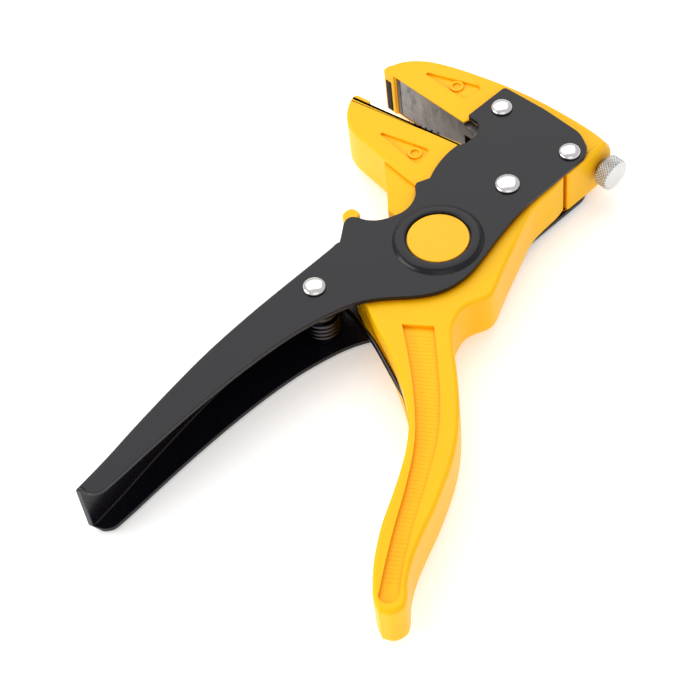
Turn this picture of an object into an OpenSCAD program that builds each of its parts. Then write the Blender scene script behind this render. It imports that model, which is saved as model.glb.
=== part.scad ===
// Self-adjusting wire stripper with duck-bill jaws, lying on its back pivot cap.
// The origin is the main pivot's axis on the resting plane. The jaws point along -X,
// the grips along -Y, and the front side plate faces +Z.

/* [Frame] */
// Width over both side plates
frame_w = 19; // [18.5:0.5:20]
// Thickness of the bent frame sheet
sheet_t = 1.5; // [1.2:0.1:1.6]
// Height of the back pivot cap and rivet heads under the frame
foot_h = 1; // [0.9:0.1:1.2]
// Height of the front rivet heads
rivet_h = 1.7; // [1.4:0.1:2]
// Radius of a rivet shaft
rivet_r = 1.9; // [1.6:0.1:2]
// Radius of the round cap over the main pivot
cap_r = 8.8; // [8:0.1:8.8]

/* [Jaws] */
// Thickness of the moulded jaws
jaw_t = 15.8; // [15:0.2:15.8]
// Width of the lower jaw's channel for its blade carriage
channel_w = 12.8; // [12:0.2:12.8]
// Travel of the blade carriages
blade_travel = 14.1; // [10:0.1:14.1]
// Number of comb teeth on the lower blade holder
comb_teeth = 5; // [3:1:6]

/* [Handle] */
// Thickness of the moulded handle
handle_t = 15; // [14:0.2:15]
// Thickness of the steel drive lever inside it
lever_t = 4; // [3.6:0.2:4]
// Diameter of the return spring's wire
wire_d = 1.4; // [1.2:0.1:1.4]

/* [Adjuster] */
// Radius of the knurled knob
knob_r = 4.9; // [4.4:0.1:4.9]
// Number of grooves round the knob
knob_grooves = 30; // [20:1:36]

/* [Hidden] */
$fn = 48;

z0 = foot_h;                  // outer face of the back plate
z1 = foot_h + frame_w;        // outer face of the front plate
zi0 = z0 + sheet_t;           // inner faces of the plates
zi1 = z1 - sheet_t;
zm = (z0 + z1) / 2;           // middle plane
fit = 0.05;                   // running clearance on a radius

A = [-21.75, 48.7];           // front jaw rivet
B = [4.9, 48.6];              // rear jaw rivet
C = [0.2, 27.8];              // lower jaw's pivot
D = [-13.1, -35];             // return spring's rivet
PIN = [-7, 40];               // upper carriage's drive pin
KNOB_Y = 57.3;                // adjuster's axis
SLOPE = 12.36;                // open lower jaw's tilt
YELLOW = [0.98, 0.76, 0.15];
CHARCOAL = [0.25, 0.25, 0.27];
STEEL = [0.72, 0.72, 0.74];
BLACK = [0.08, 0.08, 0.09];

function lerp(a, b, t) = a + (b - a) * t;
function unit(v) = v / norm(v);

// A polygon's corner [x, y, r] rounded to radius r
function corner(p, q, s) =
    let (b = [q.x, q.y], u = unit([p.x, p.y] - b), v = unit([s.x, s.y] - b),
         half = acos(max(-1, min(1, u * v))) / 2, r = q[2], d = r / tan(half),
         turn = 180 - 2 * half, n = max(1, ceil(turn / 15)),
         a = b + u * d, c = b + v * d, m = b + unit(u + v) * r / sin(half))
    r < 0.05 || turn < 1 ? [b] :
    [for (i = [0:n]) let (w = unit((a - m) * sin(turn * (1 - i / n)) + (c - m) * sin(turn * i / n)))
        m + w * r];
function rounded(pts) = let (n = len(pts))
    [for (i = [0:n - 1]) each corner(pts[(i + n - 1) % n], pts[i], pts[(i + 1) % n])];

// A smooth curve through its points, k steps between two of them
function smooth(p, k = 3) = let (n = len(p))
    [for (i = [0:n - 2]) let (a = p[max(0, i - 1)], b = p[i], c = p[i + 1], d = p[min(n - 1, i + 2)])
        for (j = [0:k - 1]) let (t = j / k)
            0.5 * (2 * b + (c - a) * t + (2 * a - 5 * b + 4 * c - d) * t * t
                   + (3 * b - a - 3 * c + d) * t * t * t),
     p[n - 1]];
function arc(c, r, a0, a1, n) = [for (i = [0:n]) let (a = lerp(a0, a1, i / n))
    c + r * [cos(a), sin(a)]];

module slab(za, zb) { translate([0, 0, za]) linear_extrude(zb - za) children(); }
module rod(p, r, za, zb) { translate([p.x, p.y, za]) cylinder(h = zb - za, r = r); }
module tube(p, ro, ri, za, zb) {
    difference() {
        rod(p, ro, za, zb);
        rod(p, ri, za - 1, zb + 1);
    }
}

// ---- frame ----
spine = [[-20.7, -20.3], [-20.5, -33], [-20.3, -45], [-19.9, -56], [-18.9, -69.5],
         [-17, -83.5], [-14.5, -98.5], [-12.2, -110.5], [-10.5, -121.8]];
rear_edge = [[9.2, 45], [9.2, 30], [9.8, 22.5], [11.4, 13.5], [13.6, 4], [14.8, -3],
             [14.3, -9.5], [12.3, -14.5], [9, -19], [5, -23.2], [1.5, -27.3], [-1, -31.5],
             [-2.9, -36.5], [-4.5, -43], [-5.8, -50.5], [-6.6, -60], [-6.9, -72],
             [-6.6, -86], [-5.8, -100], [-5, -110]];
hook = [[-19.9, -19], [-22, -16.2], [-24.1, -13.4], [-24.6, -11.6], [-24.1, -10.2],
        [-22.6, -9.2], [-20.2, -8.2], [-18, -6.4], [-16.4, -4], [-15.2, -1], [-14.7, 1.5],
        [-15.1, 4.5], [-16.6, 7.6], [-19.2, 10]];
jaw_side = [[-18.1, 15], [-19.4, 18], [-20.6, 22], [-21.2, 26], [-21.2, 29.6]];
plate_top = rounded([[-21.2, 29.6, 0], [-19.9, 31.4, 1], [-19.9, 36.4, 3], [-22.4, 39.9, 2.4],
                     [-27.2, 39.9, 0.8], [-27.2, 55.7, 1.2], [-12, 56.7, 20],
                     [2, 56.4, 8], [9.2, 52.5, 6], [9.2, 45, 0]]);
plate_tip = rounded([[-5, -110, 0], [-4.5, -119.2, 4.5], [-10.5, -121.8, 0]]);
plate_outline = concat(smooth(hook), [[-19.7, 11.2]], smooth(jaw_side), plate_top,
                       smooth(rear_edge), plate_tip,
                       [for (i = [len(spine) - 1:-1:0]) spine[i]]);

module boss_ring(za, h, up) {
    translate([0, 0, za]) mirror([0, 0, up ? 0 : 1]) rotate_extrude()
        polygon(concat([[cap_r + 0.35, -0.5], [cap_r + 0.35, h - 0.4], [cap_r + 0.75, h]],
                       arc([12.7 - h, 0], h, 75, 0, 5), [[12.7, -0.5]]));
}
module frame_holes() {
    for (p = [A, B, C, D]) rod(p, rivet_r, z0 - 1, z1 + 1);
    rod([0, 0], 4, z0 - 2, z1 + 3);
}
module frame_channel() {
    color(CHARCOAL) difference() {
        union() {
            slab(z0, zi0) polygon(plate_outline);
            slab(zi1, z1) polygon(plate_outline);
            slab(z0, z1) polygon(concat(spine, [for (i = [len(spine) - 1:-1:0])
                spine[i] + [sheet_t, 0]]));
            boss_ring(z0, foot_h - 0.15, false);
            boss_ring(z1, 1.2, true);
        }
        frame_holes();
        rod([0, 0], cap_r + 0.1, z1, z1 + 4);
        rod([0, 0], cap_r + 0.1, z0 - 4, z0);
    }
}

// ---- upper jaw ----
jaw_z0 = zm - jaw_t / 2;
jaw_z1 = zm + jaw_t / 2;
block_end = -27.5;            // rear end of the upper carriage's full-depth block
channel_end = block_end + blade_travel + 2.4;
bite_w = jaw_t - 1;           // the upper jaw's channel, between thin side walls
upper_back = [[-60.9, 38.6], [-60.3, 42.2], [-58, 46.3], [-53.5, 50], [-47.5, 52.7],
              [-41, 54.8], [-33, 56.9], [-24, 58.8], [-14, 60.1], [-4, 60.6], [4, 60.4], [9.4, 59.6]];
crown = [[-16, 59], [-10, 60.9], [-4, 62], [2, 62.6], [9.4, 62.8], [9.4, 55], [-16, 55]];

module pocket(apex, top, low, ring, z, up) {
    translate([0, 0, z]) mirror([0, 0, up ? 0 : 1]) difference() {
        slab(-0.8, 1) polygon(rounded([[apex.x, apex.y, 0.3], [top.x, top.y, 1.2],
                                       [low.x, low.y, 1.4]]));
        tube(ring, 2.1, 1.3, -1, -0.1);
    }
}
module pocket_pair(apex, top, low, ring) {
    pocket(apex, top, low, ring, jaw_z1, true);
    pocket(apex, top, low, ring, jaw_z0, false);
}
module upper_jaw() {
    color(YELLOW) difference() {
        union() {
            slab(jaw_z0, jaw_z1) polygon(concat(smooth(upper_back),
                [[9.4, 44.2]], arc([0, 0], 44, 78, 114, 12), [[-26.8, 40.4], [-27.4, 38.4],
                 [-56, 38.4], [-56.4, 37.8], [-60.2, 37.8]]));
            slab(zm - 4.6, zm + 4.6) polygon(crown);
        }
        slab(zm - bite_w / 2, zm + bite_w / 2)
            polygon([[-55.8, 37], [-55.8, 43.5], [channel_end, 43.5], [channel_end, 37]]);
        for (p = [A, B]) rod(p, rivet_r, z0, z1);
        translate([-14, KNOB_Y, zm]) rotate([0, 90, 0]) cylinder(h = 30, r = 1.75);
        translate([2, KNOB_Y, zm]) rotate([0, 90, 0]) cylinder(h = 6.05, r = 2.75);
        // the pressure wedge's chamber, open into the carriage channel
        slab(zm - 3.1, zm + 3.1) polygon([[-19, 43], [-19, 51.5], [-24.6, 51.5], [-24.6, 56.1],
                                          [-19, 56.1], [-16.4, 59], [-6, 59], [-6, 54],
                                          [-9.6, 50], [-9.6, 43]]);
        slab(zm - 7.2, zm + 4.8) polygon([[-59.9, 37], [-59.9, 39.8], [-57.5, 39.8], [-57.5, 37]]);
        pocket_pair([-52, 45.4], [-33.1, 52.8], [-33.6, 45.2], [-39.6, 48]);
    }
}
module upper_grip_strip() {
    color(BLACK) slab(zm - 7.1, zm + 4.7)
        polygon([[-59.8, 39.7], [-57.6, 39.7], [-57.6, 37.7], [-57.9, 37.4], [-59.5, 37.4],
                 [-59.8, 37.7]]);
}

// ---- rivets, pins and caps ----
head_rim = 0.35;              // straight edge of a rivet's head, under its dome
module rivet(p, head_r) {
    h = rivet_h - head_rim;
    ball = (head_r * head_r + h * h) / (2 * h);
    span = asin(head_r / ball);
    translate([p.x, p.y, 0]) rotate_extrude() polygon(concat(
        [[0, 0], [head_r - 1, 0], [head_r - 0.1, z0], [rivet_r - 0.02, z0], [rivet_r - 0.02, z1],
         [head_r, z1]],
        arc([0, z1 + rivet_h - ball], ball, 90 - span, 90, 8)));
}
module jaw_rivets() {
    color(STEEL) {
        rivet(A, 3.15);
        rivet(B, 3.15);
    }
}
module jaw_pivot_rivet() { color(STEEL) rivet(C, 3.6); }
module spring_rivet() { color(STEEL) rivet(D, 3.25); }
module spring_bush() { color(STEEL) tube(D, 2.4, rivet_r + fit, zi0 + 0.1, zi1 - 0.1); }
module main_pivot_pin() {
    color(STEEL) {
        rod([0, 0], 3.98, z0, z1);
        rod([0, 0], 1.6, z0 - 0.4, z1 + 0.4);
    }
}
module front_cap() {
    color(YELLOW) difference() {
        rod([0, 0], cap_r, z1, z1 + 0.9);
        rod([0, 0], 1.65, z1 - 1, z1 + 0.45);
    }
}
module back_cap() {
    color(YELLOW) difference() {
        rod([0, 0], cap_r, 0, z0);
        rod([0, 0], 1.65, z0 - 0.45, z0 + 1);
    }
}

// ---- cutters ----
module fixed_cutter_blade() {
    color(STEEL) {
        slab(zm + 2.2, zm + 4.6)
            polygon(rounded([[-17.2, -2.4, 0.3], [-15.8, -0.8, 0.5], [-10, -0.8, 1],
                             [-9.6, -3.4, 1], [-13.4, -8.6, 1], [-16, -6.6, 0.3]]));
        // the boss that holds it on the front plate
        rod([-12.4, -3.4], 1.8, zm + 4, zi1);
    }
}
module moving_cutter_blade() {
    color(STEEL) slab(zm - 0.35, zm + 2.05) difference() {
        polygon(rounded([[-24.4, -10.6, 0.3], [-17.6, -7.6, 0.2], [-14.6, -5.4, 0.5],
                         [-11, -8.6, 1], [-14.5, -14, 1], [-22, -13.2, 1]]));
        translate([-15.4, -10.4]) circle(r = 1.2);
    }
}

// ---- adjuster ----
module along_x(x, r, h) {
    translate([x, KNOB_Y, zm]) rotate([0, 90, 0]) cylinder(h = h, r = r);
}
groove_d = 0.3;               // depth of the knob's grooves
module adjusting_knob() {
    color(STEEL) difference() {
        union() {
            translate([11.25, KNOB_Y, zm]) rotate([0, 90, 0]) linear_extrude(3.75)
                polygon([for (i = [0:knob_grooves - 1]) for (k = [0:3])
                    let (a = (i + k / 4) * 360 / knob_grooves, r = k < 2 ? knob_r : knob_r - groove_d)
                        r * [cos(a), sin(a)]]);
            translate([14.9, KNOB_Y, zm]) rotate([0, 90, 0])
                cylinder(h = 0.5, r1 = knob_r - groove_d - 0.1, r2 = knob_r - groove_d - 0.5);
            along_x(9.7, 2.4, 1.7);
        }
        along_x(9, 1.55, 4);
    }
}
module adjusting_screw() { color(STEEL) along_x(-9.8, 1.5, 22.8); }
module knob_nut() {
    color([0.8, 0.65, 0.3]) difference() {
        along_x(2, 2.7, 6);
        along_x(0, 1.56, 12);
    }
}
module pressure_wedge() {
    color(STEEL) difference() {
        slab(zm - 2.9, zm + 2.9) polygon([[-16.6, 44.4], [-16.6, 54.5], [-15, 58.4], [-8.6, 58.4],
                                          [-8.6, 55.2], [-11.6, 51.6], [-11.6, 44.4]]);
        along_x(-11.7, 1.56, 4);
    }
}
module wedge_spring() {
    color(STEEL) for (i = [0:5]) translate([-24.2 + i * 1.4, 53.8, zm]) rotate([0, 90, 0])
        rotate_extrude($fn = 32) translate([1.9, 0]) circle(r = 0.35, $fn = 16);
}

// ---- lower jaw ----
lower_front = [[-59.6, 24.2], [-58.4, 21.2], [-56, 18], [-52.8, 15.4], [-48.8, 14],
               [-44, 13.4], [-36.4, 12.7]];
module jaw_side_view() {
    polygon(concat(smooth(lower_front),
        rounded([[-36.4, 12.7, 0], [-34.6, 12.4, 1.5], [-23, 2.6, 2], [-20, -0.3, 1],
                 [-10.6, -0.3, 1], [-9.9, 3, 1], [-7, 7.4, 2], [-1.6, 13.4, 4], [4.9, 25, 0]]),
        arc(C, 5.4, -30, 95, 10),
        rounded([[-0.3, 33.2, 0], [-10, 33.2, 3], [-22, 31.6, 2], [-52.8, 24.9, 0.1],
                 [-53.6, 25.1, 0.2], [-54.4, 26.2, 0.5], [-59.2, 25.4, 0.7], [-59.6, 24.2, 0]])));
}
// Coordinates along the open lower jaw's top line, and out of it
module on_slope() { translate([-22, 31.6]) rotate(SLOPE) children(); }
module lower_slot(s0, s1, d0, d1) { on_slope() translate([s0, d0]) square([s1 - s0, d1 - d0]); }
module lower_jaw() {
    color(YELLOW) difference() {
        slab(jaw_z0, jaw_z1) jaw_side_view();
        slab(zm - channel_w / 2, zm + channel_w / 2) lower_slot(-30.2, 13.4, -5.2, 6);
        slab(zm - 1.9, zm + 6.2) lower_slot(-36.4, -34.6, -2.6, 3);
        rod(C, 3.2, 0, 30);
        // the cam lobe is thinner than the jaw
        for (z = [jaw_z1 - 0.8, jaw_z0 - 1.2]) slab(z, z + 2)
            polygon([[-36, 12.2], [-24, 11.3], [-9, 10.6], [-5, -3], [-28, -3]]);
        pocket_pair([-44.6, 18.9], [-27, 24], [-25.2, 17.2], [-29.6, 20.3]);
    }
}
module lower_grip_pad() {
    color(BLACK) slab(zm - 1.8, zm + 6.1) union() {
        lower_slot(-36.3, -34.7, -2.5, 0.3);
        lower_slot(-36.1, -35.3, 0.2, 0.9);
    }
}
module jaw_bush() { color(STEEL) tube(C, 3.15, rivet_r + fit, zi0 + 0.15, zi1 - 0.15); }

// ---- handle ----
handle_rear = [[8.6, 42.4], [9.5, 38], [9.9, 32], [10.5, 27.5], [12.2, 22.5], [14.4, 17.5],
               [17.3, 10.7], [20.2, 4.3], [22.5, -0.5], [23.2, -3.4], [22.6, -6], [21.4, -8.6],
               [20.9, -11.2], [21.4, -14.2], [22.8, -17.6]];
handle_outer = [[22.8, -17.6], [26, -21], [31, -25.2], [37, -30.3], [43, -36], [48, -41.5],
                [52.5, -47.8], [56.5, -55], [60, -62.3], [63, -69.5], [66, -75.8],
                [69.5, -81.2], [72.8, -84.7], [74.2, -87.4], [73.2, -90.6], [70.4, -92.3]];
handle_inner = [[70.4, -92.3], [66.5, -90.4], [61, -85], [57, -80], [53, -74], [49, -66.5],
                [45, -59.5], [41, -53.5], [36, -47.7], [30, -43], [22, -38.2], [14, -34.4],
                [7, -31.6], [1.4, -29]];
head_left = rounded([[1.4, -29, 0], [-9, -24.4, 3], [-19, -15.6, 3], [-25, -11.3, 1],
                     [-28.4, -11.2, 2], [-28.4, -6.4, 2], [-24.6, -6.6, 1], [-23.4, -10.4, 0.6],
                     [-20.2, -9.5, 2], [-17, -7.6, 2], [-14.6, -4, 1], [-12.7, -2.6, 0.6],
                     [-9.2, -2.4, 0.6], [-8.7, 1, 0]]);
module handle_side_view() {
    polygon(concat(smooth(handle_rear), smooth(handle_outer), smooth(handle_inner), head_left,
        arc([0, 0], 8.8, 165, 60, 8),
        rounded([[5.4, 10, 0], [6.3, 22, 3], [6.4, 34, 0], [6, 42.8, 0.8], [8.6, 42.4, 0]])));
}
module handle() {
    color(YELLOW) difference() {
        slab(zm - handle_t / 2, zm + handle_t / 2) handle_side_view();
        rod([0, 0], 5.05, 0, 30);
        // pocket of the drive lever
        slab(zm - lever_t / 2 - 0.1, zm + lever_t / 2 + 0.1) lever_side_view(0.15);
        // the cutter blade lies beside the lever
        slab(zm - 0.5, zm + 2.2) polygon([[-25.4, -10.8], [-25.4, -4], [-13, -4], [-9, -8],
                                          [-13.6, -15.4], [-22.6, -14]]);
        slab(zm + 2, zm + 8) polygon([[-20, -14], [-10.4, -16], [-4, -12], [-6, 0], [-20, 0]]);
        // slot that the spring's leg enters
        slab(zm - 1.6, zm + 1.6) polygon([[-4, -24.5], [4, -25.6], [12, -28.4], [22, -32.4],
            [33, -36.8], [44, -41.4], [44.6, -45], [40, -53.4], [34, -49], [20, -40], [8, -35],
            [-4, -33]]);
        for (p = [[6, -13], [14, -4]]) rod(p, 1.5, 0, 30);
        groove(zm + handle_t / 2, true);
        groove(zm - handle_t / 2, false);
    }
}
groove_outer = [[19.4, -21.4], [28, -28.8], [38, -38], [46, -47], [53, -58], [60, -70], [66, -79.2],
                [71, -85.6]];
groove_inner = [[66.8, -88.2], [62.2, -81.9], [56.4, -73.1], [50.4, -63.3], [43.4, -53.2],
                [36.3, -45.6],
                [25, -36], [12.5, -26.8]];
groove_depth = 1.2;
module groove(z, up) {
    translate([0, 0, z]) mirror([0, 0, up ? 0 : 1]) slab(-groove_depth, 1)
        polygon(concat(smooth(groove_outer), arc([69, -87.5], 2.5, 20, -140, 6),
                       smooth(groove_inner)));
}
module lever_side_view(g) {
    polygon(concat(arc([0, 0], 8 + g, 70, 290, 14),
        [[2 - g, -17 - g], [9, -19 - g], [18 + g, -8], [18 + g, -2], [11.4 + g, 8], [8.9 + g, 20],
         [8.6 + g, 30], [8 + g, 41]],
        arc([0, 0], 43 + g, 79, 104.6, 6),
        arc([0, 0], 36.5 - g, 106, 80, 6),
        [[6.9 - g, 34], [7 - g, 22], [6 - g, 10]]));
}
module drive_lever() {
    color(STEEL) slab(zm - lever_t / 2, zm + lever_t / 2) difference() {
        lever_side_view(0);
        circle(r = 5.04);
        for (p = [[6, -13], [14, -4]]) translate(p) circle(r = 1.5);
        rotate(10) translate([-1.75, 38.2]) square([3.5, 4.2]);
        translate([-24, -18]) square([20.5, 13.2]);
    }
}
module lever_pins() {
    color(STEEL) for (p = [[6, -13], [14, -4]]) rod(p, 1.48, zm - 6.4, zm + 6.4);
}
module handle_bush() { color([0.75, 0.6, 0.3]) tube([0, 0], 5, 4.03, zi0 + 0.3, zi1 - 0.3); }

// ---- blade carriages ----
module upper_blade_holder() {
    color(STEEL) difference() {
        union() {
            slab(zm - bite_w / 2 + 0.1, zm + bite_w / 2 - 0.1)
                polygon(rounded([[-54.5, 38.6, 0.2], [-54.5, 43.3, 0.5], [block_end, 43.3, 0.2],
                                 [block_end, 38.6, 0.2]]));
            for (z = [zm - 6.2, zm + 2.3]) slab(z, z + 3.9)
                polygon(rounded([[-28, 38.6, 0], [-28, 42.3, 0], [-3.4, 42.3, 1.5],
                                 [-3.4, 37.5, 1.5], [-22, 37.5, 1], [-23.4, 38.6, 0.5]]));
        }
        rod(PIN, 1.5, 0, 30);
        bite_corner();
    }
}
// The bite face's front corner is ground off on both sides
module bite_corner() {
    for (k = [-1, 1]) translate([-55.7, 38.5, zm + k * (bite_w / 2 - 0.1)])
        rotate([0, 0, -45]) rotate([-k * 35.3, 0, 0]) translate([-5, -6.25, -5]) cube([10, 7, 10]);
}
module upper_drive_pin() { color(STEEL) rod(PIN, 1.48, zm - 6.1, zm + 6.1); }
module upper_blade() {
    color(STEEL) difference() {
        slab(zm - bite_w / 2 + 0.15, zm + bite_w / 2 - 0.15)
            polygon([[-55.7, 43.2], [-54.55, 43.2], [-54.55, 38.5], [-54.9, 38.1], [-55.7, 38.7]]);
        bite_corner();
    }
}
module lower_blade_holder() {
    first = -19.6;
    pitch = 1.9;
    last = first + comb_teeth * pitch;
    color(BLACK) slab(zm - 6.2, zm + 6.2) on_slope() polygon(concat([[-28.4, -5], [-28.4, -0.2]],
        [for (i = [0:comb_teeth - 1]) each comb_tooth(first + i * pitch, 1.1, 1.8 + 0.1 * i)],
        comb_tooth(last, 2, 2.3), [[-3, -0.2], [-3, -5]]));
}
// A tooth's outline above the holder's top line
function comb_tooth(s, w, h) = [[s, -0.2], [s + 0.35 * w, h], [s + 0.6 * w, h], [s + w, -0.2]];
module lower_blade() {
    color(STEEL) slab(zm - 6.1, zm + 6.1)
        on_slope() polygon([[-29.9, -4.9], [-28.5, -4.9], [-28.5, -0.2], [-29.2, 0.7], [-29.9, -0.2]]);
}

// ---- return spring ----
side_turns = 4;               // turns on each side of the leg
coil_r = 4.5;
coil_pitch = wire_d + 0.45;
coil_at = D + [1.3, -0.2];    // the coil hangs to one side of its rivet
module return_spring_coil() {
    color(BLACK) union() {
        for (side = [-1, 1]) for (i = [0:side_turns - 1])
            translate([coil_at.x, coil_at.y, zm + side * (1.7 + i * coil_pitch)])
                rotate_extrude() translate([coil_r, 0]) circle(r = wire_d / 2, $fn = 16);
        // the fixed end bears on the spine
        wire([coil_at.x - coil_r + 0.2, coil_at.y + 1.5, zm - 6.9],
             [coil_at.x - coil_r - 0.6, coil_at.y - 16, zm - 6.9]);
    }
}
module wire(a, b) {
    v = b - a;
    over = 0.15;
    translate(a - over * v / norm(v)) rotate([0, acos(v.z / norm(v)), atan2(v.y, v.x)])
        cylinder(h = norm(v) + 2 * over, r = wire_d / 2, $fn = 12);
}
leg_z = zm;
leg_path = [[-13.4, -29.8], [-5, -29.9], [3, -31.6], [9, -33.4], [20, -37.6], [30.5, -41.4]];
module spring_leg() {
    color(BLACK) for (i = [0:len(leg_path) - 2])
        wire([leg_path[i].x, leg_path[i].y, leg_z], [leg_path[i + 1].x, leg_path[i + 1].y, leg_z]);
}

frame_channel();
upper_jaw();
upper_grip_strip();
jaw_rivets();
jaw_pivot_rivet();
spring_rivet();
spring_bush();
main_pivot_pin();
front_cap();
back_cap();
fixed_cutter_blade();
knob_nut();
return_spring_coil();
lower_jaw();
lower_grip_pad();
jaw_bush();
handle();
drive_lever();
lever_pins();
handle_bush();
moving_cutter_blade();
upper_blade_holder();
upper_blade();
upper_drive_pin();
lower_blade_holder();
lower_blade();
adjusting_knob();
adjusting_screw();
pressure_wedge();
wedge_spring();
spring_leg();
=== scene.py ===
import math

import bmesh
import bpy
from mathutils import Matrix, Vector


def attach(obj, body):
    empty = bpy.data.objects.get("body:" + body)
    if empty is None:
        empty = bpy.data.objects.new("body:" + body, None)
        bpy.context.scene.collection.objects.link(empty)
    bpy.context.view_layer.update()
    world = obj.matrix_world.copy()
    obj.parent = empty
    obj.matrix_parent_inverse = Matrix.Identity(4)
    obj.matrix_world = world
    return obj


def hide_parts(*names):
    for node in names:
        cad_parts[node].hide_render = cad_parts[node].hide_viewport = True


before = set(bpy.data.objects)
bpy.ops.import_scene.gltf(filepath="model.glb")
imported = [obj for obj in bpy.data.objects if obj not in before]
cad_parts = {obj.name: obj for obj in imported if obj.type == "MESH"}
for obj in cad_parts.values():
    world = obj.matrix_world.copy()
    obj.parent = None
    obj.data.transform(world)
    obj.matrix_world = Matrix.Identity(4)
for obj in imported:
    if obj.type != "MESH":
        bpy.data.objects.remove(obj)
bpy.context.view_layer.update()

MM = 0.001

# ---------------------------------------------------------------- sizes, in mm
BACK, FRONT, SHEET = 1.0, 20.0, 1.5
MID = (BACK + FRONT) / 2
JAW_HALF = 7.9
HANDLE_HALF = 7.5
CHANNEL_HALF = 6.4
BITE_HALF = 7.4
CAP_R = 8.8
KNOB_Y, KNOB_R = 57.3, 4.9
WIRE_R = 0.7
RIVET_A, RIVET_B = (-21.75, 48.7), (4.9, 48.6)
PIVOT_C, PIVOT_D = (0.2, 27.8), (-13.1, -35.0)
SLOPE = math.radians(12.36)
SLOPE_FROM = (-22.0, 31.6)


# ---------------------------------------------------------------- outlines
def unit(v):
    return v / max(v.length, 1e-9)


def corner(p, q, s):
    """Corner q = (x, y, r) between its neighbours, rounded to radius r."""
    b, r = Vector(q[:2]), q[2]
    u, v = unit(Vector(p[:2]) - b), unit(Vector(s[:2]) - b)
    half = math.acos(max(-1, min(1, u.dot(v)))) / 2
    turn = math.pi - 2 * half
    if r < 0.05 or turn < 0.02:
        return [b]
    d = r / math.tan(half)
    a, c, m = b + u * d, b + v * d, b + unit(u + v) * r / math.sin(half)
    n = max(2, math.ceil(turn / math.radians(9)))
    out = []
    for i in range(n + 1):
        w = (a - m) * math.sin(turn * (1 - i / n)) + (c - m) * math.sin(turn * i / n)
        out.append(m + unit(w) * r)
    return out


def rounded(pts):
    n = len(pts)
    return [v for i in range(n) for v in corner(pts[i - 1], pts[i], pts[(i + 1) % n])]


def smooth(p, k=5):
    """A smooth curve through its points, k steps between two of them."""
    p = [Vector(q) for q in p]
    out = []
    for i in range(len(p) - 1):
        a, b, c, d = p[max(0, i - 1)], p[i], p[i + 1], p[min(len(p) - 1, i + 2)]
        for j in range(k):
            t = j / k
            out.append(0.5 * (2 * b + (c - a) * t + (2 * a - 5 * b + 4 * c - d) * t * t
                              + (3 * b - a - 3 * c + d) * t ** 3))
    return out + [p[-1]]


def arc(c, r, a0, a1, n):
    return [Vector((c[0] + r * math.cos(math.radians(a0 + (a1 - a0) * i / n)),
                    c[1] + r * math.sin(math.radians(a0 + (a1 - a0) * i / n))))
            for i in range(n + 1)]


def closed(*parts, gap=0.06):
    """One outline from its parts, without points that fall on each other."""
    out = []
    for p in (Vector(q) for part in parts for q in part):
        if not out or (p - out[-1]).length > gap:
            out.append(p)
    if (out[0] - out[-1]).length <= gap:
        out.pop()
    return out


def on_slope(pts):
    """Points given along the open lower jaw's top line, and out of it."""
    c, s = math.cos(SLOPE), math.sin(SLOPE)
    return [Vector((SLOPE_FROM[0] + x * c - y * s, SLOPE_FROM[1] + x * s + y * c)) for x, y in pts]


# ---------------------------------------------------------------- meshes
def put(name, bm):
    bmesh.ops.recalc_face_normals(bm, faces=bm.faces)
    mesh = bpy.data.meshes.new(name)
    bm.to_mesh(mesh)
    bm.free()
    obj = bpy.data.objects.new(name, mesh)
    bpy.context.scene.collection.objects.link(obj)
    return obj


def layers(name, rings):
    """A closed solid from rings of 3-D points in mm, each with the same count."""
    bm = bmesh.new()
    rows = [[bm.verts.new(Vector(p) * MM) for p in ring] for ring in rings]
    n = len(rows[0])
    for low, top in zip(rows, rows[1:]):
        for i in range(n):
            bm.faces.new((low[i], low[(i + 1) % n], top[(i + 1) % n], top[i]))
    bm.faces.new(rows[0][::-1])
    bm.faces.new(rows[-1])
    return put(name, bm)


def prism(name, outline, z0, z1):
    return layers(name, [[(p[0], p[1], z) for p in outline] for z in (z0, z1)])


def lathe(name, profile, centre, steps=72, axis="Z"):
    """A turned solid; profile is (radius, height) from the axis back to the axis."""
    bm = bmesh.new()
    rows = []
    for r, h in profile:
        if r < 1e-6:
            rows.append([bm.verts.new((0, 0, h * MM))])
        else:
            rows.append([bm.verts.new((r * MM * math.cos(2 * math.pi * i / steps),
                                       r * MM * math.sin(2 * math.pi * i / steps), h * MM))
                         for i in range(steps)])
    for a, b in zip(rows, rows[1:]):
        for i in range(steps):
            j = (i + 1) % steps
            if len(a) == 1 and len(b) > 1:
                bm.faces.new((a[0], b[j], b[i]))
            elif len(b) == 1 and len(a) > 1:
                bm.faces.new((a[i], a[j], b[0]))
            elif len(a) > 1:
                bm.faces.new((a[i], a[j], b[j], b[i]))
    if axis == "X":
        bmesh.ops.rotate(bm, verts=bm.verts, matrix=Matrix.Rotation(math.pi / 2, 3, "Y"))
    bmesh.ops.translate(bm, verts=bm.verts, vec=Vector(centre) * MM)
    return put(name, bm)


def ring_lathe(name, profile, centre, steps=96):
    """A turned ring; profile is a closed loop of (radius, height)."""
    bm = bmesh.new()
    n = len(profile)
    rows = [[bm.verts.new((r * MM * math.cos(2 * math.pi * i / steps),
                           r * MM * math.sin(2 * math.pi * i / steps), h * MM))
             for r, h in profile] for i in range(steps)]
    for i in range(steps):
        for j in range(n):
            a, b = rows[i], rows[(i + 1) % steps]
            bm.faces.new((a[j], b[j], b[(j + 1) % n], a[(j + 1) % n]))
    bmesh.ops.translate(bm, verts=bm.verts, vec=Vector(centre) * MM)
    return put(name, bm)


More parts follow.
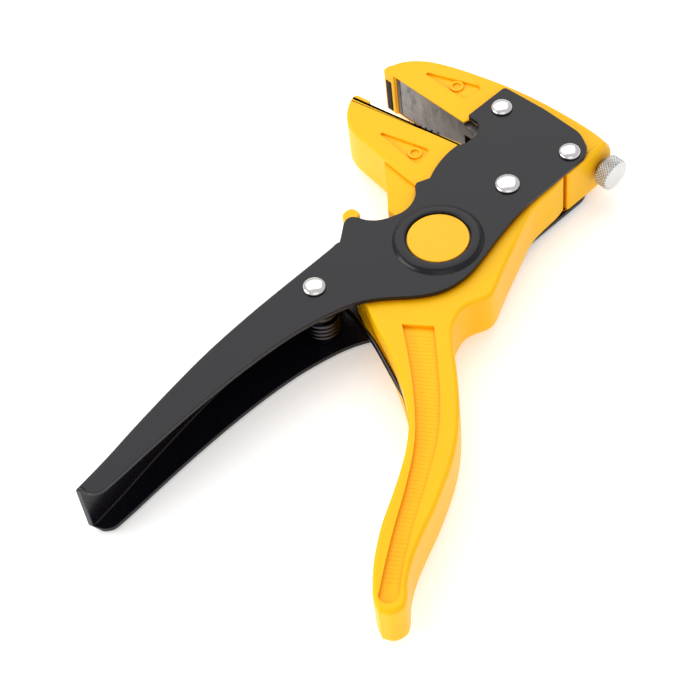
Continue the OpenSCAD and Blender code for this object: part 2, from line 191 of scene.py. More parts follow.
def tube(name, path, radius, sides=14):
    """A round wire along a path of 3-D points in mm, with rounded ends."""
    pts = [Vector(p) for p in path]
    first, last = unit(pts[0] - pts[1]), unit(pts[-1] - pts[-2])
    steps = [(pts[0] + first * radius * 0.6, 0.45)] + [(p, 1.0) for p in pts]
    steps.append((pts[-1] + last * radius * 0.6, 0.45))
    bm = bmesh.new()
    side = Vector((0, 0, 1))
    rows = []
    for i, (p, k) in enumerate(steps):
        a, b = steps[max(0, i - 1)][0], steps[min(len(steps) - 1, i + 1)][0]
        along = unit(b - a)
        side = unit(side - along * side.dot(along))
        other = along.cross(side)
        rows.append([bm.verts.new((p + (side * math.cos(2 * math.pi * j / sides)
                                        + other * math.sin(2 * math.pi * j / sides)) * radius * k) * MM)
                     for j in range(sides)])
    for a, b in zip(rows, rows[1:]):
        for j in range(sides):
            bm.faces.new((a[j], a[(j + 1) % sides], b[(j + 1) % sides], b[j]))
    bm.faces.new(rows[0][::-1])
    bm.faces.new(rows[-1])
    return put(name, bm)


def apply(obj):
    """Turns the object's modifiers into its mesh."""
    bpy.context.view_layer.update()
    graph = bpy.context.evaluated_depsgraph_get()
    mesh = bpy.data.meshes.new_from_object(obj.evaluated_get(graph))
    obj.modifiers.clear()
    obj.data = mesh


def rim_of(half, *outlines):
    """A weight that picks the rims where outlines cut a face at half from the middle."""
    rims = [p for outline in outlines for p in resampled(outline, 0.25)]

    def weight(mid, way):
        if abs(abs(mid.z - MID) - half) > 0.02:
            return 0.0
        return 1.0 if min((Vector(mid[:2]) - p).length for p in rims) < 0.16 else 0.0

    return weight


def resampled(outline, step):
    """Points at most a step apart round a closed outline."""
    out = []
    for a, b in zip(outline, outline[1:] + outline[:1]):
        n = max(1, math.ceil((b - a).length / step))
        out += [a.lerp(b, i / n) for i in range(n)]
    return out


def bevel(obj, width, segments=3, weight=None, angle=38):
    """Rounds the sharp edges; weight(middle, direction) in mm gives each edge's share."""
    mod = obj.modifiers.new("edges", "BEVEL")
    mod.width = width * MM
    mod.segments = segments
    mod.use_clamp_overlap = False
    mod.limit_method = "ANGLE"
    mod.angle_limit = math.radians(angle)
    mod.miter_outer = "MITER_ARC"
    if weight:
        bm = bmesh.new()
        bm.from_mesh(obj.data)
        layers = bm.edges.layers.float
        layer = layers.get("bevel_weight_edge") or layers.new("bevel_weight_edge")
        for e in bm.edges:
            e[layer] = 0.0
            if len(e.link_faces) == 2 and e.calc_face_angle(0) > math.radians(angle):
                mid = (e.verts[0].co + e.verts[1].co) / 2 / MM
                e[layer] = weight(mid, unit(e.verts[1].co - e.verts[0].co))
        bm.to_mesh(obj.data)
        bm.free()
        mod.limit_method = "WEIGHT"
    apply(obj)


def ease(t, least):
    """A bevel's share that grows evenly from least at t = 0 to 1 at t = 1."""
    return least + (1 - least) * max(0.0, min(1.0, t))


def combine(obj, others, operation):
    for other in others:
        mod = obj.modifiers.new("combine", "BOOLEAN")
        mod.operation = operation
        mod.solver = "MANIFOLD"
        mod.object = other
        apply(obj)
        bpy.data.objects.remove(other)
    return obj


def cut(obj, *cutters):
    return combine(obj, cutters, "DIFFERENCE")


def tidy(obj):
    """Merges points that the cuts left almost on each other."""
    bm = bmesh.new()
    bm.from_mesh(obj.data)
    bmesh.ops.remove_doubles(bm, verts=bm.verts, dist=0.004 * MM)
    bmesh.ops.dissolve_degenerate(bm, edges=bm.edges, dist=0.002 * MM)
    bm.to_mesh(obj.data)
    bm.free()


def piece(obj, body, material, slot, *nodes, angle=34):
    """Finishes a piece: smooth shading up to its sharp edges, material, body and node."""
    mesh = obj.data
    mesh.shade_smooth()
    mesh.set_sharp_from_angle(angle=math.radians(angle))
    mod = obj.modifiers.new("normals", "WEIGHTED_NORMAL")
    mod.keep_sharp = True
    mod.weight = 60
    mesh.materials.clear()
    mesh.materials.append(material)
    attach(obj, body)
    if nodes:
        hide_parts(*nodes)
    return obj


# ---------------------------------------------------------------- materials
def rgb(r, g, b):
    return tuple((c / 255 / 12.92 if c <= 10 else ((c / 255 + 0.055) / 1.055) ** 2.4)
                 for c in (r, g, b)) + (1.0,)


class Nodes:
    """A material's nodes, wired up by name."""

    def __init__(self, name):
        self.mat = bpy.data.materials.new(name)
        self.mat.use_nodes = True
        self.tree = self.mat.node_tree
        self.shader = self.tree.nodes["Principled BSDF"]
        self.place = self.add("TexCoord").outputs["Object"]

    def add(self, kind, **values):
        node = self.tree.nodes.new("ShaderNode" + kind)
        for key, value in values.items():
            setattr(node, key, value)
        return node

    def link(self, a, b):
        self.tree.links.new(a, b)

    def stretched(self, scale):
        node = self.add("Mapping")
        self.link(self.place, node.inputs["Vector"])
        node.inputs["Scale"].default_value = scale
        return node.outputs["Vector"]

    def noise(self, size_mm, detail=4.0, rough=0.55, where=None):
        node = self.add("TexNoise")
        self.link(where or self.place, node.inputs["Vector"])
        node.inputs["Scale"].default_value = 1 / (size_mm * MM)
        node.inputs["Detail"].default_value = detail
        node.inputs["Roughness"].default_value = rough
        return node.outputs["Fac"]

    def ramp(self, value, low, high, a=0.0, b=1.0):
        node = self.add("MapRange")
        self.link(value, node.inputs["Value"])
        for key, v in (("From Min", low), ("From Max", high), ("To Min", a), ("To Max", b)):
            node.inputs[key].default_value = v
        return node.outputs["Result"]

    def mix(self, fac, a, b, blend="MIX"):
        node = self.add("Mix", data_type="RGBA", blend_type=blend)
        if isinstance(fac, float):
            node.inputs["Factor"].default_value = fac
        else:
            self.link(fac, node.inputs["Factor"])
        for key, v in (("A", a), ("B", b)):
            socket = [s for s in node.inputs if s.name == key and s.type == "RGBA"][0]
            if isinstance(v, tuple):
                socket.default_value = v
            else:
                self.link(v, socket)
        return [s for s in node.outputs if s.type == "RGBA"][0]

    # Ambient occlusion, used as the mask for painted shade in corners and grooves.
    def occlusion_shade(self, reach_mm):
        node = self.add("AmbientOcclusion", samples=6)
        node.inputs["Distance"].default_value = reach_mm * MM
        return node.outputs["AO"]

    def bump(self, height, strength, depth_mm):
        node = self.add("Bump")
        node.inputs["Strength"].default_value = strength
        node.inputs["Distance"].default_value = depth_mm * MM
        self.link(height, node.inputs["Height"])
        self.link(node.outputs["Normal"], self.shader.inputs["Normal"])

    def set(self, **values):
        for key, value in values.items():
            socket = self.shader.inputs[key.replace("_", " ")]
            if hasattr(value, "is_linked"):
                self.link(value, socket)
            else:
                socket.default_value = value


def moulded_plastic(name, base, painted_shade_colour, rough=0.36):
    """Satin moulded plastic: fine grain, faint flow marks, and painted shade: a deeper orange painted
    into its corners and recesses.
    """
    n = Nodes(name)
    flow = n.ramp(n.noise(14, 3.0), 0.3, 0.7)
    tone = n.mix(flow, tuple(c * 0.965 for c in base[:3]) + (1,), base)
    # Painted shade: ambient occlusion mixes the colour towards a deeper orange in corners and recesses.
    shade = n.ramp(n.occlusion_shade(1.6), 0.25, 0.85, 0.85, 0.0)
    n.set(Base_Color=n.mix(shade, tone, painted_shade_colour))
    grain = n.noise(0.35, 3.0)
    n.set(Roughness=n.ramp(grain, 0.3, 0.7, rough - 0.04, rough + 0.06))
    n.bump(grain, 0.12, 0.03)
    n.shader.inputs["Specular IOR Level"].default_value = 0.2
    return n.mat


def coated_sheet(name, base, rough=0.42):
    """Semi-gloss coat on steel: a faint cloud, orange peel and light rubs."""
    n = Nodes(name)
    cloud = n.ramp(n.noise(22, 3.0), 0.3, 0.7)
    tone = n.mix(cloud, tuple(c * 0.93 for c in base[:3]) + (1,), base)
    rubs = n.ramp(n.noise(3.0, 6.0, 0.7, n.stretched((1, 0.15, 1))), 0.62, 0.8)
    n.set(Base_Color=n.mix(rubs, tone, tuple(c * 1.25 for c in base[:3]) + (1,)))
    peel = n.noise(0.5, 2.0)
    n.set(Roughness=n.ramp(peel, 0.3, 0.7, rough - 0.05, rough + 0.05))
    n.bump(peel, 0.04, 0.02)
    n.shader.inputs["Specular IOR Level"].default_value = 0.32
    return n.mat


def polished_metal(name, base, rough=0.12, scratch=0.08, stretch=(1, 1, 1)):
    """Bright metal with hairline scratches, and painted shade that darkens its narrow grooves."""
    n = Nodes(name)
    hair = n.noise(0.5, 6.0, 0.7, n.stretched(stretch))
    n.set(Metallic=1.0, Roughness=n.ramp(hair, 0.25, 0.75, rough, rough + scratch))
    tone = n.mix(n.ramp(n.noise(4, 3.0), 0.3, 0.7), base, tuple(c * 0.9 for c in base[:3]) + (1,))
    # Painted shade: ambient occlusion darkens the base colour in narrow grooves.
    groove = n.ramp(n.occlusion_shade(0.8), 0.45, 0.9, 0.75, 0.0)
    n.set(Base_Color=n.mix(groove, tone, tuple(c * 0.12 for c in base[:3]) + (1,)))
    n.bump(hair, 0.08, 0.02)
    return n.mat


def scuffed_steel(name, base):
    """Ground blade steel with dark scuffs and streaks across the bite face."""
    n = Nodes(name)
    streak = n.ramp(n.noise(3.2, 7.0, 0.68, n.stretched((1.0, 1, 0.45))), 0.35, 0.68)
    blotch = n.ramp(n.noise(5.0, 5.0, 0.6), 0.4, 0.62)
    dark = tuple(c * 0.36 for c in base[:3]) + (1,)
    tone = n.mix(streak, dark, base)
    n.set(Base_Color=n.mix(blotch, tone, tuple(c * 0.75 for c in base[:3]) + (1,)))
    hair = n.noise(0.4, 6.0, 0.7, n.stretched((1, 1, 0.1)))
    n.set(Metallic=0.85, Roughness=n.ramp(hair, 0.3, 0.7, 0.3, 0.48))
    n.bump(hair, 0.15, 0.03)
    return n.mat


def rubbery(name, base, rough=0.6):
    """Matt moulded rubber or plastic with a fine grain."""
    n = Nodes(name)
    grain = n.noise(0.3, 3.0)
    n.set(Base_Color=n.mix(n.ramp(n.noise(3, 3.0), 0.3, 0.7), base,
                           tuple(c * 1.5 for c in base[:3]) + (1,)))
    n.set(Roughness=n.ramp(grain, 0.3, 0.7, rough - 0.1, rough + 0.08))
    n.bump(grain, 0.2, 0.05)
    return n.mat


# Each plastic's second colour is painted shade for its corners and recesses.
YELLOW = moulded_plastic("jaw_plastic", rgb(255, 191, 4), rgb(248, 140, 2))
GRIP_YELLOW = moulded_plastic("handle_plastic", rgb(255, 192, 4), rgb(248, 140, 2), 0.38)
DISC = moulded_plastic("cap_plastic", rgb(252, 190, 34), rgb(246, 160, 20), 0.3)
COAT = coated_sheet("frame_coat", rgb(15, 13, 20), 0.24)
NICKEL = polished_metal("rivet_nickel", rgb(232, 228, 228), 0.1, 0.1)
KNURL = polished_metal("knurled_nickel", rgb(214, 214, 212), 0.2, 0.14)
STEEL = polished_metal("steel", rgb(178, 178, 182), 0.24, 0.15, (1, 1, 0.2))
BLADE = scuffed_steel("blade_steel", rgb(165, 166, 168))
BRASS = polished_metal("brass", rgb(206, 168, 92), 0.25, 0.15)
COMB = rubbery("black_comb", rgb(22, 22, 24), 0.45)
RUBBER = rubbery("grip_rubber", rgb(20, 20, 22), 0.62)
SPRING = polished_metal("spring_steel", rgb(74, 72, 74), 0.16, 0.1)


# ---------------------------------------------------------------- frame
SPINE = [(-20.7, -20.3), (-20.5, -33), (-20.3, -45), (-19.9, -56), (-18.9, -69.5),
         (-17, -83.5), (-14.5, -98.5), (-12.2, -110.5), (-10.5, -121.8)]
REAR_EDGE = [(9.2, 45), (9.2, 30), (9.8, 22.5), (11.4, 13.5), (13.6, 4), (14.8, -3),
             (14.3, -9.5), (12.3, -14.5), (9, -19), (5, -23.2), (1.5, -27.3), (-1, -31.5),
             (-2.9, -36.5), (-4.5, -43), (-5.8, -50.5), (-6.6, -60), (-6.9, -72),
             (-6.6, -86), (-5.8, -100), (-5, -110)]
HOOK = [(-19.9, -19), (-22, -16.2), (-24.1, -13.4), (-24.6, -11.6), (-24.1, -10.2),
        (-22.6, -9.2), (-20.2, -8.2), (-18, -6.4), (-16.4, -4), (-15.2, -1), (-14.7, 1.5),
        (-15.1, 4.5), (-16.6, 7.6), (-19.2, 10)]
JAW_SIDE = [(-18.1, 15), (-19.4, 18), (-20.6, 22), (-21.2, 26), (-21.2, 29.6)]
PLATE_TOP = rounded([(-21.2, 29.6, 0), (-19.9, 31.4, 1), (-19.9, 36.4, 3), (-22.4, 39.9, 2.4),
                     (-27.2, 39.9, 0.8), (-27.2, 55.7, 1.2), (-12, 56.7, 20),
                     (2, 56.4, 8), (9.2, 52.5, 6), (9.2, 45, 0)])
PLATE_TIP = rounded([(-5, -110, 0), (-4.5, -119.2, 4.5), (-10.5, -121.8, 0)])
BEND_R = 1.5


def frame_channel():
    spine = smooth(SPINE, 4)
    outline = closed(smooth(HOOK), [(-19.7, 11.2)], smooth(JAW_SIDE), PLATE_TOP,
                     smooth(REAR_EDGE), PLATE_TIP, spine[::-1])
    sheet = prism("frame_channel", outline, BACK, FRONT)

    def on_spine(mid, way):
        flat = min((Vector(mid[:2]) - p).length for p in spine) < 3
        return 1.0 if flat and abs(way.z) < 0.1 and -121.7 < mid.y < -20.4 else 0.0

    bevel(sheet, BEND_R, 5, on_spine)
    inner = [p + Vector((SHEET, 0)) for p in spine]
    hollow = closed([(-60, -20.3)], inner, [(-9, -140), (60, -140), (60, 70), (-60, 70)])
    cutter = prism("hollow", hollow, BACK + SHEET, FRONT - SHEET)
    bevel(cutter, 0.6, 3, lambda mid, way: on_spine(mid - Vector((SHEET, 0, 0)), way))
    cut(sheet, cutter)
    tidy(sheet)
    bevel(sheet, 0.22, 2)
    piece(sheet, "frame", COAT, "frame_coat", "frame_channel")
    for tag, z, up in (("front", FRONT, 1), ("back", BACK, -1)):
        h = 1.25 if up > 0 else 0.9
        inner_r = CAP_R + 0.3
        loop = [(inner_r, -0.3), (inner_r, h - 0.45), (inner_r + 0.12, h - 0.2),
                (inner_r + 0.45, h), (inner_r + 1.3, h + 0.02)]
        loop += [(inner_r + 1.3 + 2.2 * math.sin(t), h * math.cos(t) ** 0.9)
                 for t in [math.radians(a) for a in range(10, 90, 10)]]
        loop += [(12.9, 0.02), (12.9, -0.3)]
        loop = [(r, z + up * y) for r, y in loop]
        ring = ring_lathe("boss_ring_" + tag, loop, (0, 0, 0))
        piece(ring, "frame", COAT, "frame_coat")


# ---------------------------------------------------------------- jaws
UPPER_BACK = [(-60.2, 41.4), (-59.7, 43.3), (-58, 46.3), (-53.5, 50), (-47.5, 52.7),
              (-41, 54.8), (-33, 56.9), (-24, 58.8), (-14, 60.1), (-4, 60.6), (4, 60.4), (9.4, 59.6)]
CROWN = 2.6


def crowned(p, z):
    """The rear block's back, crowned between its side faces."""
    x, y = p
    if y < 55.5:
        return Vector((x, y, z))
    rise = max(0.0, min(1.0, (x + 18) / 26))
    rise = rise * rise * (3 - 2 * rise)
    across = abs(z - MID) / JAW_HALF
    return Vector((x, y + CROWN * rise * (1 - across ** 2.2) - 0.3 * rise * across ** 4, z))


UPPER_POCKET = rounded([(-52, 45.4, 0.5), (-33.1, 52.8, 1.2), (-33.6, 45.2, 1.4)])
LOWER_POCKET = rounded([(-44.6, 18.9, 0.5), (-27, 24, 1.2), (-25.2, 17.2, 1.4)])
POCKET_DEPTH = 0.8
RING_OUT, RING_IN, RING_TOP = 2.1, 1.35, 0.3


def pocket(outline, ring, z, up):
    """Cutter for one pocket, with its raised ring left standing."""
    a, b = sorted((z - up * POCKET_DEPTH, z + up))
    hole = prism("pocket", outline, a, b)
    a, b = sorted((z - up * (POCKET_DEPTH + 0.5), z - up * RING_TOP))
    profile = [(RING_OUT, a), (RING_OUT, b), (RING_IN, b), (RING_IN, a)]
    boss = ring_lathe("boss", profile, (ring[0], ring[1], 0), 40)
    return cut(hole, boss)


def pocket_pair(obj, outline, ring):
    for up in (1, -1):
        cut(obj, pocket(outline, ring, MID + up * JAW_HALF, up))
    tidy(obj)
    bevel(obj, 0.3, 3, rim_of(JAW_HALF, outline), 50)


def upper_jaw():
    outline = closed(smooth(UPPER_BACK), [(9.4, 52), (9.4, 44.2)], arc((0, 0), 44, 78, 114, 24),
                     [(-26.8, 40.4), (-27.4, 38.4), (-56, 38.4), (-56.4, 37.8), (-60.3, 37.8),
                      (-60.9, 38.4), (-60.9, 40.5), (-60.35, 41.0)])
    depth = [-1, -0.85, -0.65, -0.4, -0.15, 0.15, 0.4, 0.65, 0.85, 1]
    jaw = layers("upper_jaw", [[crowned(p, MID + JAW_HALF * k) for p in outline] for k in depth])

    def soft(mid, way):
        return ease((mid.y - 41.5) / 4.5, 0.22)

    bevel(jaw, 1.1, 4, soft, 50)
    channel = prism("channel", [(-55.8, 36), (-55.8, 43.5), (-11, 43.5), (-11, 36)],
                    MID - BITE_HALF, MID + BITE_HALF)
    strip = prism("strip", [(-59.9, 36), (-59.9, 39.8), (-57.5, 39.8), (-57.5, 36)],
                  MID - 7.2, MID + 4.8)
    cut(jaw, channel, strip)
    pocket_pair(jaw, UPPER_POCKET, (-39.6, 48))
    piece(jaw, "frame", YELLOW, "jaw_plastic", "upper_jaw")


LOWER_FRONT = [(-59.6, 24.2), (-58.4, 21.2), (-56, 18), (-52.8, 15.4), (-48.8, 14),
               (-44, 13.4), (-36.4, 12.7)]


def lower_jaw():
    outline = closed(
        smooth(LOWER_FRONT),
        rounded([(-36.4, 12.7, 0), (-34.6, 12.4, 1.5), (-23, 2.6, 2), (-20, -0.3, 1.2),
                 (-10.6, -0.3, 1.2), (-9.9, 3, 1.2), (-7, 7.4, 2), (-1.6, 13.4, 4), (4.9, 25, 0)]),
        arc(PIVOT_C, 5.4, -30, 95, 16),
        rounded([(-0.3, 33.2, 0), (-10, 33.2, 3), (-22, 31.6, 2), (-52.8, 24.9, 0),
                 (-53.6, 25.1, 0), (-54.4, 26.2, 0), (-59.2, 25.4, 0), (-59.6, 24.2, 0)]))
    jaw = prism("lower_jaw", outline, MID - JAW_HALF, MID + JAW_HALF)

    def soft(mid, way):
        return ease((24 + (mid.x + 52.8) * 0.21 - mid.y) / 6, 0.22)

    bevel(jaw, 1.1, 4, soft, 50)
    for up in (1, -1):
        a, b = sorted((MID + up * (JAW_HALF - 0.8), MID + up * (JAW_HALF + 1)))
        cut(jaw, prism("lobe", [(-36, 12.2), (-24, 11.3), (-2, 10.9), (-2, -4), (-28, -4)], a, b))
    low = -5.2
    channel = prism("channel", on_slope([(-30.2, low), (13.4, low), (13.4, 6), (-30.2, 6)]),
                    MID - CHANNEL_HALF, MID + CHANNEL_HALF)
    slot = prism("slot", on_slope([(-36.4, -2.6), (-34.6, -2.6), (-34.6, 3), (-36.4, 3)]),
                 MID - 1.9, MID + 6.2)
    cut(jaw, channel, slot)
    pocket_pair(jaw, LOWER_POCKET, (-29.6, 20.3))
    piece(jaw, "lower_jaw", YELLOW, "jaw_plastic", "lower_jaw")


# ---------------------------------------------------------------- handle
HANDLE_REAR = [(8.6, 42.4), (9.5, 38), (9.9, 32), (10.5, 27.5), (12.2, 22.5), (14.4, 17.5),
               (17.3, 10.7), (20.2, 4.3), (22.5, -0.5), (23.2, -3.4), (22.6, -6), (21.4, -8.6),
               (20.9, -11.2), (21.4, -14.2), (22.8, -17.6)]
HANDLE_OUTER = [(22.8, -17.6), (26, -21), (31, -25.2), (37, -30.3), (43, -36), (48, -41.5),
                (52.5, -47.8), (56.5, -55), (60, -62.3), (63, -69.5), (66, -75.8),
                (69.5, -81.2), (72.8, -84.7), (74.2, -87.4), (73.2, -90.6), (70.4, -92.3)]
HANDLE_INNER = [(70.4, -92.3), (66.5, -90.4), (61, -85), (57, -80), (53, -74), (49, -66.5),
                (45, -59.5), (41, -53.5), (36, -47.7), (30, -43), (22, -38.2), (14, -34.4),
                (7, -31.6), (1.4, -29)]
GROOVE_OUTER = [(19.4, -21.4), (28, -28.8), (38, -38), (46, -47), (53, -58), (60, -70), (66, -79.2),
                (71, -85.6)]
GROOVE_INNER = [(66.9, -88.6), (62.2, -81.9), (56.4, -73.1), (50.4, -63.3), (43.4, -53.2),
                (36.3, -45.6), (25, -36), (12.5, -26.8)]
GROOVE_DEPTH = 1.2
FURROW_DEPTH, FURROW_HALF, FURROWS = 0.045, 0.28, 62


def along(points, t):
    """The point at share t of a line's length."""
    spans = [(b - a).length for a, b in zip(points, points[1:])]
    left = t * sum(spans)
    for a, span in zip(range(len(spans)), spans):
        if left <= span:
            return points[a].lerp(points[a + 1], left / span)
        left -= span
    return points[-1]


def groove_ribs(z0, z1):
    """Fine furrows across the floor of the handle's groove."""
    outer, inner = smooth(GROOVE_OUTER), smooth(GROOVE_INNER)[::-1]
    bm = bmesh.new()
    for i in range(FURROWS):
        t = 0.04 + 0.92 * i / (FURROWS - 1)
        a, b = along(outer, t), along(inner, t)
        a, b = a.lerp(b, 0.07), a.lerp(b, 0.93)
        wide = unit(Vector((b.y - a.y, a.x - b.x))) * FURROW_HALF
        ring = [a - wide, a + wide, b + wide, b - wide]
        low, top = ([bm.verts.new(Vector((p.x, p.y, z)) * MM) for p in ring] for z in (z0, z1))
        for k in range(4):
            bm.faces.new((low[k], low[(k + 1) % 4], top[(k + 1) % 4], top[k]))
        bm.faces.new(low[::-1])
        bm.faces.new(top)
    return put("furrows", bm)


def handle():
    head = rounded([(1.4, -29, 0), (-9, -24.4, 3), (-19, -15.6, 3), (-25, -11.3, 1),
                    (-28.4, -11.2, 2), (-28.4, -6.4, 2), (-24.6, -6.6, 1), (-23.4, -10.4, 0.6),
                    (-20.2, -9.5, 2), (-17, -7.6, 2), (-14.6, -4, 1), (-12.7, -2.6, 0.6),
                    (-9.2, -2.4, 0.6), (-8.7, 1, 0)])
    top = rounded([(5.4, 10, 0), (6.3, 22, 3), (6.4, 34, 0), (6, 42.8, 0.8), (8.6, 42.4, 0)])
    outline = closed(smooth(HANDLE_REAR), smooth(HANDLE_OUTER), smooth(HANDLE_INNER), head,
                     arc((0, 0), 8.8, 165, 60, 16), top)
    grip = prism("handle", outline, MID - HANDLE_HALF, MID + HANDLE_HALF)

    def soft(mid, way):
        return ease(max((-24 - mid.y) / 10, (mid.x - 6) / 4), 0.3)

    bevel(grip, 1.2, 5, soft, 50)
    lever = prism("lever_slot", closed(arc((0, 0), 8.15, 70, 290, 24),
                  [(2, -17.1), (9, -19.1), (18.1, -8), (18.1, -2), (11.5, 8), (9.05, 20),
                   (8.75, 30), (8.15, 41)], arc((0, 0), 43.15, 79, 104.6, 10),
                  arc((0, 0), 36.35, 106, 80, 10), [(6.75, 34), (6.85, 22), (5.85, 10)]),
                  MID - 2.1, MID + 2.1)
    blade = prism("blade_slot", [(-25.4, -10.8), (-25.4, -4), (-13, -4), (-9, -8),
                                 (-13.6, -15.4), (-22.6, -14)], MID - 0.5, MID + 2.2)
    other = prism("other_slot", [(-20, -14), (-10.4, -16), (-4, -12), (-6, 0), (-20, 0)],
                  MID + 2, MID + 4.8)
    leg = prism("leg_slot", [(-4, -24.5), (4, -25.6), (12, -28.4), (22, -32.4), (33, -36.8),
                             (44, -41.4), (44.6, -45), (40, -53.4), (34, -49), (20, -40),
                             (8, -35), (-4, -33)], MID - 1.6, MID + 1.6)
    cut(grip, lever, blade, other, leg)
    groove = closed(smooth(GROOVE_OUTER), arc((69.0, -87.5), 2.5, 20, -140, 12),
                    smooth(GROOVE_INNER))
    for up in (1, -1):
        face = MID + up * HANDLE_HALF
        a, b = sorted((face - up * GROOVE_DEPTH, face + up))
        cut(grip, prism("groove", groove, a, b))
    tidy(grip)
    for up in (1, -1):
        face = MID + up * HANDLE_HALF
        a, b = sorted((face - up * (GROOVE_DEPTH + FURROW_DEPTH), face - up * (GROOVE_DEPTH - 0.3)))
        cut(grip, groove_ribs(a, b))
    piece(grip, "handle", GRIP_YELLOW, "handle_plastic", "handle")


# ---------------------------------------------------------------- small round parts
def rivet_profile(head):
    """Front dome and rim, and the upset end under the back plate."""
    top = FRONT + 1.68
    dome = [(head * math.sin(math.radians(a)), top - 1.32 * (1 - math.cos(math.radians(a))))
            for a in range(8, 81, 9)]
    rim = [(head, FRONT + 0.42), (head, FRONT + 0.12), (head - 0.12, FRONT), (1.85, FRONT - 0.01)]
    foot = [(1.85, BACK + 0.01), (head - 0.2, BACK), (head - 0.15, BACK - 0.2),
            (head - 0.8, 0.22), (head - 1.5, 0.1), (0, 0.1)]
    return [(0, top)] + dome + rim + foot


def rivets():
    for tag, centre, head, node in (("a", RIVET_A, 3.15, "jaw_rivets"), ("b", RIVET_B, 3.15, None),
                                    ("c", PIVOT_C, 3.6, "jaw_pivot_rivet"),
                                    ("d", PIVOT_D, 3.25, "spring_rivet")):
        rivet = lathe("rivet_" + tag, rivet_profile(head), (centre[0], centre[1], 0))
        piece(rivet, "frame", NICKEL, "rivet_nickel", *([node] if node else []), angle=50)


def caps():
    r = CAP_R - 0.05
    front = [(0, FRONT + 0.92), (4, FRONT + 0.92), (r - 0.3, FRONT + 0.86), (r - 0.08, FRONT + 0.76),
             (r, FRONT + 0.6), (r, FRONT + 0.02), (0, FRONT + 0.02)]
    piece(lathe("front_cap", front, (0, 0, 0), 96), "frame", DISC, "cap_plastic", "front_cap")
    back = [(0, BACK - 0.02), (r, BACK - 0.02), (r, 0.25), (r - 0.1, 0.08), (r - 0.35, 0),
            (4, 0), (0, 0)]
    piece(lathe("back_cap", back, (0, 0, 0), 96), "frame", DISC, "cap_plastic", "back_cap")


def knob():
    """Diamond knurling between two plain bevels, and a plain end face."""
    turns, rows, x0, x1 = 30, 20, 11.25, 15.0
    around = turns * 6
    bm = bmesh.new()
    rings = []
    profile = [(9.75, 2.35, 0), (11.15, 2.35, 0), (11.15, 4.3, 0), (11.4, KNOB_R - 0.1, 0)]
    profile += [(x0 + 0.2 + (x1 - x0 - 0.35) * i / rows, KNOB_R, 1) for i in range(rows + 1)]
    profile += [(15.1, KNOB_R - 0.3, 0), (15.35, KNOB_R - 0.75, 0), (15.4, KNOB_R - 1.1, 0),
                (15.4, 0.9, 0)]
    for x, r, cut_share in profile:
        ring = []
        for i in range(around):
            a = 2 * math.pi * i / around
            k = (x - x0) / (KNOB_R * 2 * math.pi / turns)
            ridge = (abs(math.sin(math.pi * (i / 6 + k))) + abs(math.sin(math.pi * (i / 6 - k)))) / 2
            rr = r - cut_share * 0.55 * (1 - ridge)
            ring.append(bm.verts.new(Vector((x, KNOB_Y + rr * math.cos(a), MID + rr * math.sin(a))) * MM))
        rings.append(ring)
    for a, b in zip(rings, rings[1:]):
        for i in range(around):
            j = (i + 1) % around
            bm.faces.new((a[i], a[j], b[j], b[i]))
    bm.faces.new(rings[0][::-1])
    bm.faces.new(rings[-1])
    piece(put("adjusting_knob", bm), "adjuster", KNURL, "knurled_nickel", "adjusting_knob", angle=60)


def spring():
    x, y, r = PIVOT_D[0] + 1.3, PIVOT_D[1] - 0.2, 4.5
    low, high = BACK + SHEET + WIRE_R + 0.1, FRONT - SHEET - WIRE_R - 0.1
    path = [(x - r - 0.6, y - 16, low), (x - r - 0.3, y - 8, low), (x - r, y - 2, low)]
    turns, per, gap = 8, 28, 1.7
    for i in range(turns * per + 1):
        a = math.pi - 2 * math.pi * i / per
        t = i / (turns * per)
        z = low + (high - low - gap) * t + gap * max(0.0, min(1.0, (t - 0.5) * turns + 0.5))
        path.append((x + r * math.cos(a), y + r * math.sin(a), z))
    coil = tube("return_spring_coil", path, WIRE_R, 12)
    piece(coil, "frame", SPRING, "spring_steel", "return_spring_coil", angle=60)
    leg = smooth([(-13.4, -29.8, MID), (-5, -29.9, MID), (3, -31.6, MID), (9, -33.4, MID),
                  (20, -37.6, MID), (30.5, -41.4, MID)], 6)
    piece(tube("spring_leg", leg, WIRE_R, 14), "spring_leg", SPRING, "spring_steel",
          "spring_leg", angle=60)


# ---------------------------------------------------------------- jaw fittings
def grip_strip():
    """Ribbed black strip across the upper jaw's nose."""
    outline = rounded([(-59.8, 39.7, 0), (-57.6, 39.7, 0), (-57.6, 37.5, 0.35), (-59.8, 37.5, 0.35)])
    low, high, pitch = MID - 7.1, MID + 4.7, 0.78
    strip = prism("upper_grip_strip", outline, low, high)
    bevel(strip, 0.12, 2)
    for i in range(14):
        z = low + 0.85 + i * pitch
        cut(strip, prism("rib", [(-60.5, 37), (-57, 37), (-57, 37.7), (-60.5, 37.7)], z - 0.16, z + 0.16))
    piece(strip, "frame", RUBBER, "grip_rubber", "upper_grip_strip")


def comb():
    """Black holder in the lower jaw with its row of slanted teeth."""
    first, pitch, count = -19.6, 1.9, 5
    pts = [(-28.4, -5), (-28.4, -0.2)]
    for i in range(count):
        s = first + i * pitch
        h = 1.8 + 0.1 * i
        pts += [(s, -0.2), (s + 0.5, h), (s + 0.85, h), (s + 1.1, -0.2)]
    s = first + count * pitch
    pts += [(s, -0.2), (s + 0.75, 2.3), (s + 1.2, 2.3), (s + 2, -0.2), (-3, -0.2), (-3, -5)]
    holder = prism("lower_blade_holder", on_slope(pts), MID - 6.2, MID + 6.2)
    bevel(holder, 0.12, 2)
    piece(holder, "lower_carriage", COMB, "black_comb", "lower_blade_holder")


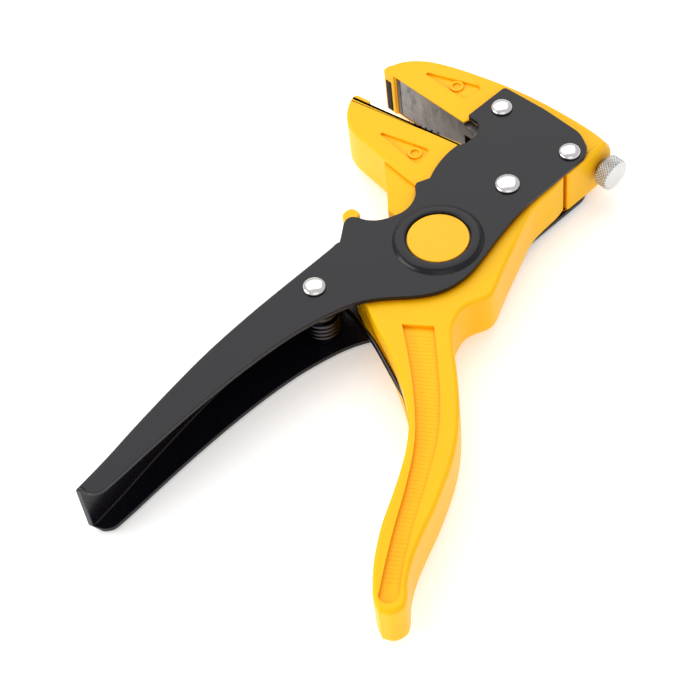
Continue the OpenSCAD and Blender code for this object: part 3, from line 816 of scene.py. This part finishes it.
# ---------------------------------------------------------------- carried-over nodes
def dress(node, material, width=0.15):
    """A CAD node keeps its shape and gets softened edges and its material."""
    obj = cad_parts[node]
    flat = obj.modifiers.new("faces", "DECIMATE")
    flat.decimate_type = "DISSOLVE"
    flat.angle_limit = math.radians(1.0)
    edge = obj.modifiers.new("edges", "BEVEL")
    edge.width = width * MM
    edge.segments = 2
    edge.limit_method = "ANGLE"
    edge.angle_limit = math.radians(40)
    obj.data.materials.clear()
    obj.data.materials.append(material)


def carried_over():
    for node in ("upper_blade_holder", "upper_blade", "lower_blade", "fixed_cutter_blade",
                 "moving_cutter_blade"):
        dress(node, BLADE)
    for node in ("drive_lever", "lever_pins", "upper_drive_pin", "main_pivot_pin", "spring_bush",
                 "jaw_bush", "adjusting_screw", "pressure_wedge"):
        dress(node, STEEL, 0.08)
    for node in ("handle_bush", "knob_nut"):
        dress(node, BRASS, 0.05)
    dress("lower_grip_pad", RUBBER, 0.05)
    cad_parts["wedge_spring"].data.materials.clear()
    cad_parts["wedge_spring"].data.materials.append(SPRING)


# ---------------------------------------------------------------- studio
LENS = 92.57
CAMERA_AT, CAMERA_AIM = (242.4, -220.6, 399.0), (9.7, -43.3, 20.0)
CAMERA_ROLL = math.radians(-8.13)
WORLD_LIGHT, FLOOR_GLOW = 0.7, 0.3
AIM = (0, -0.02, 0)
SOFTBOXES = (("key", (-0.55, 0.35, 0.9), (1.4, 1.1), 6.3), ("fill", (0.7, -0.5, 0.7), (0.8, 0.8), 1.2),
             ("edge", (-0.55, -0.9, 0.42), (0.9, 0.2), 5))


def camera():
    data = bpy.data.cameras.new("camera")
    data.lens = LENS
    data.sensor_width = 36
    cam = bpy.data.objects.new("camera", data)
    bpy.context.scene.collection.objects.link(cam)
    place, aim = Vector(CAMERA_AT) * MM, Vector(CAMERA_AIM) * MM
    turn = (aim - place).to_track_quat("-Z", "Y").to_matrix()
    turn = turn @ Matrix.Rotation(CAMERA_ROLL, 3, "Z")
    cam.matrix_world = Matrix.Translation(place) @ turn.to_4x4()
    data.clip_start = 0.01
    data.clip_end = 10
    bpy.context.scene.camera = cam


def softbox(name, place, aim, size, power):
    data = bpy.data.lights.new(name, "AREA")
    data.shape = "RECTANGLE"
    data.size, data.size_y = size
    data.energy = power
    obj = bpy.data.objects.new(name, data)
    bpy.context.scene.collection.objects.link(obj)
    obj.location = place
    obj.rotation_euler = (Vector(aim) - Vector(place)).to_track_quat("-Z", "Y").to_euler()


def studio():
    bm = bmesh.new()
    bmesh.ops.create_grid(bm, x_segments=8, y_segments=8, size=1.6)
    floor = put("floor", bm)
    floor.location.z = -0.0002
    n = Nodes("floor")
    tone = n.ramp(n.noise(60, 2.0), 0.3, 0.7)
    n.set(Base_Color=n.mix(tone, rgb(250, 250, 250), rgb(253, 253, 253)))
    n.set(Roughness=0.9)
    n.shader.inputs["Specular IOR Level"].default_value = 0.1
    n.shader.inputs["Emission Color"].default_value = (1, 1, 1, 1)
    n.shader.inputs["Emission Strength"].default_value = FLOOR_GLOW
    floor.data.materials.append(n.mat)
    world = bpy.data.worlds.new("studio")
    bpy.context.scene.world = world
    world.use_nodes = True
    back = world.node_tree.nodes["Background"]
    back.inputs["Color"].default_value = (1, 1, 1, 1)
    back.inputs["Strength"].default_value = WORLD_LIGHT
    for name, place, size, power in SOFTBOXES:
        softbox(name, place, AIM, size, power)
    bpy.context.scene.view_settings.view_transform = "Standard"


camera()
frame_channel()
upper_jaw()
lower_jaw()
handle()
rivets()
caps()
knob()
spring()
grip_strip()
comb()
carried_over()
studio()
